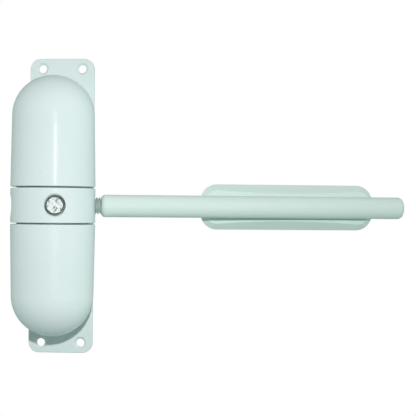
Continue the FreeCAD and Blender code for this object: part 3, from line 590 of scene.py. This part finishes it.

# ---------------------------------------------------------------------------
# Drive hub and socket plugs.
# The hub is turned steel with four threaded sockets, zinc plated. Its zinc is
# made darker than the other plating, as painted shade in the collar's windows.
# Bright, faintly pitted plugs close the three sockets not in use.

# darker zinc than the screws and rod: painted shade for the hub seen through the windows
hub_zinc_painted_shade = metal("hub_zinc_painted_shade", (0.60, 0.67, 0.65, 1.0), (0.48, 0.54, 0.53, 1.0), 0.42)
dress("drive_hub", hub_zinc_painted_shade)
plug = Finish("plug_zinc", Metallic=1.0)
place = plug.turned_place()
pits = plug.ramp(plug.noise(place, 0.0013, 1.0), 0.56, 0.70)
plug_zinc = plug.shade(
    Base_Color=plug.mix(pits, (0.77, 0.82, 0.81, 1.0), (0.40, 0.43, 0.44, 1.0)),
    Roughness=0.34 + 0.16 * pits,
    Normal=plug.bump(1.0 - pits, 0.00004),
)
dress("socket_plugs", plug_zinc)

# ---------------------------------------------------------------------------
# Thrust washers and bushes.
# The washers are natural nylon and the bushes sintered bronze, soaked in oil.

nylon = Finish("natural_nylon", Roughness=0.5, Subsurface_Weight=0.1, Subsurface_Scale=0.002)
mottle = nylon.noise(nylon.turned_place(), 0.003, 3.0)
washer_nylon = nylon.shade(
    Base_Color=nylon.mix(mottle, (0.78, 0.75, 0.66, 1.0), (0.86, 0.84, 0.77, 1.0)),
    Normal=nylon.bump(mottle, 0.00002),
)
bronze = Finish("oiled_bronze", Metallic=1.0)
place = bronze.turned_place()
pores = bronze.ramp(bronze.noise(place, 0.00025, 1.0), 0.58, 0.70)
oil = bronze.noise(place, 0.004, 3.0)
bush_bronze = bronze.shade(
    Base_Color=bronze.mix(pores, (0.58, 0.38, 0.18, 1.0), (0.20, 0.12, 0.06, 1.0)),
    Roughness=0.28 + 0.15 * oil + 0.20 * pores,
    Normal=bronze.bump(1.0 - pores, 0.00003),
)
for level in ("upper", "lower"):
    dress(level + "_thrust_washer", washer_nylon)
    dress(level + "_bush", bush_bronze)

# ---------------------------------------------------------------------------
# Torsion springs.
# Oil-tempered wire, cold wound. One leg of each goes into the hub and the other
# into the mandrel's flange, so turning the arm winds both springs down.

wire_radius, coil_radius, bend_radius = 0.0015, 0.0145, 0.0035
coil_turns, coil_pitch, coil_bottom = 7, 0.0034, 0.0195
coil_top = coil_bottom + coil_turns * coil_pitch
leg_low, leg_high = 0.0095, 0.0510
arm_axis = joint("sleeve_spin")["axis"]
arm_heading = math.atan2(arm_axis[1], arm_axis[0])
spring_heading = arm_heading + math.pi / 4


def wound_spring(hand):
    """Spring about Z: leg, quarter bend, coil, quarter bend, leg. hand is 1 or -1."""
    spring = bmesh.new()
    steps = 64

    def leg(end, rise):
        """Carry the open end straight up."""
        edges = [item for item in end if isinstance(item, bmesh.types.BMEdge)]
        moved = bmesh.ops.extrude_edge_only(spring, edges=edges)["geom"]
        verts = [item for item in moved if isinstance(item, bmesh.types.BMVert)]
        bmesh.ops.translate(spring, verts=verts, vec=(0, 0, rise))
        return [item for item in moved if not isinstance(item, bmesh.types.BMFace)]

    def bend(end, height, way):
        """Carry the open end round a quarter turn, between a leg and the coil."""
        return bmesh.ops.spin(
            spring, geom=end, cent=(coil_radius, 0, height), axis=(1, 0, 0),
            angle=way * hand * math.pi / 2, steps=8,
        )["geom_last"]

    bmesh.ops.create_circle(spring, segments=14, radius=wire_radius)
    start = Matrix.Translation((coil_radius, -hand * bend_radius, leg_low))
    placed(spring, start)
    end = list(spring.verts) + list(spring.edges)
    end = leg(end, coil_bottom - bend_radius - leg_low)
    end = bend(end, coil_bottom - bend_radius, -1)
    end = bmesh.ops.spin(
        spring, geom=end, cent=(0, 0, 0), axis=(0, 0, 1), dvec=(0, 0, coil_pitch / steps),
        angle=hand * 2 * math.pi * coil_turns, steps=steps * coil_turns,
    )["geom_last"]
    end = bend(end, coil_top + bend_radius, 1)
    leg(end, leg_high - coil_top - bend_radius)
    bmesh.ops.holes_fill(spring, edges=[e for e in spring.edges if e.is_boundary], sides=0)
    bmesh.ops.recalc_face_normals(spring, faces=spring.faces)
    return spring


tempered = metal(
    "tempered_wire", (0.13, 0.135, 0.15, 1.0), (0.20, 0.17, 0.15, 1.0), 0.34, grain=0.0004
)
for level, roll, hand in (("upper", 0.0, 1), ("lower", math.pi, -1)):
    turn = Matrix.Rotation(spring_heading, 4, "Z") @ Matrix.Rotation(roll, 4, "X")
    shape = placed(wound_spring(hand), Matrix.Translation(axis) @ turn)
    spring = finished(shape, "tempered_" + level + "_spring", tempered)
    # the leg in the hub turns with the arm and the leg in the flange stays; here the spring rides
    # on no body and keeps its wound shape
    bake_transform(spring)
    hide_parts(level + "_spring")

# ---------------------------------------------------------------------------
# Collar.
# A turned steel ring pressed over the hub and enamelled with the covers. Four
# round windows with a broken edge let the arm into whichever socket is wanted.

collar_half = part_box("collar")[1].z
collar_radius = rim_radius
collar_inner = collar_radius - 0.00355
window_radius, window_chamfer, window_flare = 0.0060, 0.0008, 0.002
cutter_near, cutter_far = 0.010, 0.030  # from the axis, clear of the ring's wall
ring = lathe(
    [
        (collar_inner, -collar_half),
        (collar_radius, -collar_half),
        (collar_radius, collar_half),
        (collar_inner, collar_half),
    ],
    128,
)
soften(ring, 0.0005, math.radians(60))
wide = window_radius + window_chamfer + window_flare
windows = []
for quarter in range(4):
    cutter = lathe(
        [
            (0.0, cutter_near),
            (window_radius, cutter_near),
            (window_radius, collar_radius - window_chamfer),
            (wide, collar_radius - window_chamfer + wide - window_radius),
            (wide, cutter_far),
            (0.0, cutter_far),
        ],
        56,
    )
    aim = Matrix.Rotation(quarter * math.pi / 2, 4, "Z") @ Matrix.Rotation(math.pi / 2, 4, "Y")
    windows.append(placed(cutter, aim))
combine(ring, gather(windows), "DIFFERENCE")
placed(ring, Matrix.Translation(axis) @ Matrix.Rotation(arm_heading, 4, "Z"))
collar = finished(ring, "windowed_collar", enamel("collar_enamel", 0.22))
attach(collar, "arm")
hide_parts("collar")

# ---------------------------------------------------------------------------
# Arm rod.
# Bright zinc-plated steel: an M10 thread that screws into the hub, then a plain
# rod with a groove near its end for the sleeve's snap rib.

arm_place = Matrix.Translation(axis) @ Matrix.Rotation(arm_heading, 4, "Z")
ALONG_ARM = arm_place @ Matrix.Rotation(math.pi / 2, 4, "Y")  # local +Z runs along the arm
thread_radius, rod_radius, groove_radius = 0.00495, 0.0040, 0.0034
thread_start, thread_end, thread_pitch = 0.0091, 0.0274, 0.0015
blank_start, blank_end = 0.0085, 0.0285  # cut long, then trimmed to the envelope
plain_start, rod_end, groove_start, groove_end = 0.0200, 0.2055, 0.1985, 0.2007
edge, thread_chamfer = 0.0010, 0.0006
crest = thread_radius * 1.001  # just clear of the thread
envelope = lathe(
    [
        (0.0, thread_start),
        (thread_radius - edge, thread_start),
        (crest, thread_start + edge),
        (crest, thread_end - thread_chamfer),
        (thread_radius - thread_chamfer, thread_end),
        (0.0, thread_end),
    ],
    56,
)
blank = thread(thread_radius, thread_pitch, blank_start, blank_end, 40)
rod = combine(blank, envelope, "INTERSECT")
plain = lathe(
    [
        (0.0, plain_start),
        (rod_radius, plain_start),
        (rod_radius, groove_start),
        (groove_radius, groove_start),
        (groove_radius, groove_end),
        (rod_radius, groove_end),
        (rod_radius, rod_end - edge),
        (rod_radius - edge, rod_end),
        (0.0, rod_end),
    ],
    56,
)
combine(rod, plain, "UNION")
ARM_ZINC = (0.92, 0.98, 0.96, 1.0)
ARM_ZINC_DULL = (0.80, 0.89, 0.86, 1.0)
arm_zinc = metal("arm_zinc", ARM_ZINC, ARM_ZINC_DULL, 0.42, (0.05, 1.0, 1.0), arm_heading)
arm_rod = finished(placed(rod, ALONG_ARM), "threaded_arm_rod", arm_zinc)
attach(arm_rod, "arm")
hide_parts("arm_rod")

# ---------------------------------------------------------------------------
# Arm sleeve.
# A moulded nylon tube in the closer's colour, closed and rounded at its tip. It is
# held at the rod's groove, turns freely on the rod and rolls on the slide plate.

sleeve_start, sleeve_end = 0.0277, 0.2095
sleeve_bore, sleeve_radius, bore_end = 0.00406, 0.0065, 0.2060
sleeve_lead, sleeve_tip = 0.0015, 0.0034
tube_profile = [
    (0.0, bore_end),
    (sleeve_bore, bore_end),
    (sleeve_bore, sleeve_start),
    (sleeve_radius - sleeve_lead, sleeve_start),
    (sleeve_radius, sleeve_start + sleeve_lead),
]
for step in range(11):
    turn = step / 10 * math.pi / 2
    tube_profile.append(
        (
            sleeve_radius - sleeve_tip + sleeve_tip * math.cos(turn),
            sleeve_end - sleeve_tip + sleeve_tip * math.sin(turn),
        )
    )
tube_profile.append((0.0, sleeve_end))
tube = soften(lathe(tube_profile, 72), 0.0003, math.radians(40))


NYLON = (0.693, 0.840, 0.780, 1.0)
NYLON_DEEP = (0.665, 0.820, 0.755, 1.0)


def moulded(name, heading, stretch, roughness):
    """Moulded nylon: a faint flow of tone along the part and a soft satin skin."""
    plastic = Finish(name, IOR=1.53, Subsurface_Weight=0.06, Subsurface_Scale=0.003)
    flow = plastic.noise(plastic.turned_place(heading, stretch), 0.004, 3.0)
    skin = plastic.noise(plastic.turned_place(), 0.0009)
    return plastic.shade(
        Base_Color=plastic.mix(plastic.ramp(flow, 0.30, 0.70), NYLON, NYLON_DEEP),
        Roughness=roughness + flow * 0.08,
        Normal=plastic.bump(skin * 0.6 + flow, 0.00002),
    )


sleeve_nylon = moulded("sleeve_nylon", arm_heading, (0.05, 1.0, 1.0), 0.46)
arm_sleeve = finished(placed(tube, ALONG_ARM), "moulded_arm_sleeve", sleeve_nylon)
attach(arm_sleeve, "sleeve")
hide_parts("arm_sleeve")

# ---------------------------------------------------------------------------
# Slide plate.
# Moulded nylon, screwed to the door through two countersunk holes. The arm's
# sleeve rolls along its crowned face.

slide_heading = math.radians(11)
slide_nylon = moulded("slide_nylon", slide_heading, (0.10, 1.0, 1.0), 0.44)
dress("slide_plate", slide_nylon)

# ---------------------------------------------------------------------------
# The stage: a plain pale floor well below the closer, soft light from all round,
# a small key lamp from the front right, two lights for reflections, and the camera.

floor_radius, floor_drop = 1.1, 0.26
floor_mesh = bmesh.new()
bmesh.ops.create_circle(floor_mesh, cap_ends=True, segments=64, radius=floor_radius)
placed(floor_mesh, Matrix.Translation((axis.x, axis.y, cad_box[0].z - floor_drop)))
floor_paint = Finish("floor_paint", Roughness=0.9, Emission_Strength=0.36)
floor_paint.shader.inputs["Emission Color"].default_value = (0.96, 1.0, 0.99, 1.0)
grain = floor_paint.noise(floor_paint.turned_place(), 0.05)
floor_paint.shade(
    Base_Color=floor_paint.mix(grain, (0.80, 0.81, 0.81, 1.0), (0.83, 0.84, 0.84, 1.0))
)
floor = finished(floor_mesh, "floor", floor_paint.material)
floor.visible_diffuse = False
floor.visible_glossy = False
floor.visible_shadow = False

world = bpy.data.worlds.new("soft_room")
bpy.context.scene.world = world
world.use_nodes = True
room = Nodes(world.node_tree)


def glow(colour, strength):
    """Light of one colour from the whole room."""
    return room.node("ShaderNodeBackground", {}, {"Color": colour, "Strength": strength})


def facing(value):
    """How far a direction points one way, and 0 where it points the other."""
    return room.node("ShaderNodeMath", {"operation": "MAXIMUM"}, {0: value, 1: 0.0})


def ray_is(kind):
    """1 for rays of a kind, otherwise 0."""
    return room.node("ShaderNodeLightPath", {}, {}, kind)


way = room.node("ShaderNodeTexCoord", {}, {}, "Generated")
across, behind, height = [
    room.node("ShaderNodeSeparateXYZ", {}, {"Vector": way}, letter) for letter in "XYZ"
]
sides = across * across
rear, above, below = facing(behind), facing(height), facing(0.0 - height)
pale_light = glow((0.89, 1.0, 0.965, 1.0), sides * 0.92 + rear * 0.66 + above * 0.30)
green_light = glow((0.25, 1.0, 0.86, 1.0), below * 0.14)
both = room.node("ShaderNodeAddShader", {}, {0: pale_light, 1: green_light})
grey_room = glow((0.94, 1.0, 0.98, 1.0), 0.42)
lit = room.node("ShaderNodeMixShader", {}, {0: ray_is("Is Glossy Ray"), 1: both, 2: grey_room})
white = glow((1.0, 1.0, 1.0, 1.0), 1.0)
view = room.node("ShaderNodeMixShader", {}, {0: ray_is("Is Camera Ray"), 1: lit, 2: white})
room.feed(room.tree.nodes["World Output"].inputs["Surface"], view)


WHITE = (1.0, 1.0, 1.0)


def lamp(name, azimuth, elevation, reach, size, energy, colour=WHITE):
    """Area lamp aimed at the closer's middle. Azimuth runs from the front to the right."""
    azimuth, elevation = math.radians(azimuth), math.radians(elevation)
    data = bpy.data.lights.new(name, "AREA")
    data.shape = "RECTANGLE"
    data.size, data.size_y = size
    data.energy = energy
    data.color = colour
    item = bpy.data.objects.new(name, data)
    bpy.context.scene.collection.objects.link(item)
    away = Vector(
        (
            math.sin(azimuth) * math.cos(elevation),
            -math.cos(azimuth) * math.cos(elevation),
            math.sin(elevation),
        )
    )
    item.location = axis + reach * away
    item.rotation_euler = away.to_track_quat("Z", "Y").to_euler()
    return item


# The key gives the shadows and no reflection. The streak lamp and the card are seen
# only in reflections, on the upper cover and in the bare metal.
key = lamp("key_lamp", 13.5, 7.0, 0.50, (0.014, 0.014), 1.83, (1.0, 0.927, 0.960))
key.visible_glossy = False
streak = lamp("streak_lamp", 16.5, 6.6, 0.66, (0.012, 0.055), 0.12)
streak.visible_diffuse = False
card = lamp("card", 17.0, 1.0, 0.90, (0.30, 0.30), 0.26)
card.visible_diffuse = False

camera_data = bpy.data.cameras.new("camera")
camera_data.lens = 107.8  # mm
camera_place = Matrix.Translation((0.1427, -0.7352, -0.0025))
camera = bpy.data.objects.new("camera", camera_data)
bpy.context.scene.collection.objects.link(camera)
yaw, pitch, roll = math.radians(-4.30), math.radians(0.14), math.radians(0.45)
turned = Matrix.Rotation(-yaw, 4, "Z") @ Matrix.Rotation(math.pi / 2 + pitch, 4, "X")
camera.matrix_world = camera_place @ turned @ Matrix.Rotation(roll, 4, "Z")
bpy.context.scene.camera = camera
bpy.context.scene.view_settings.view_transform = "Standard"
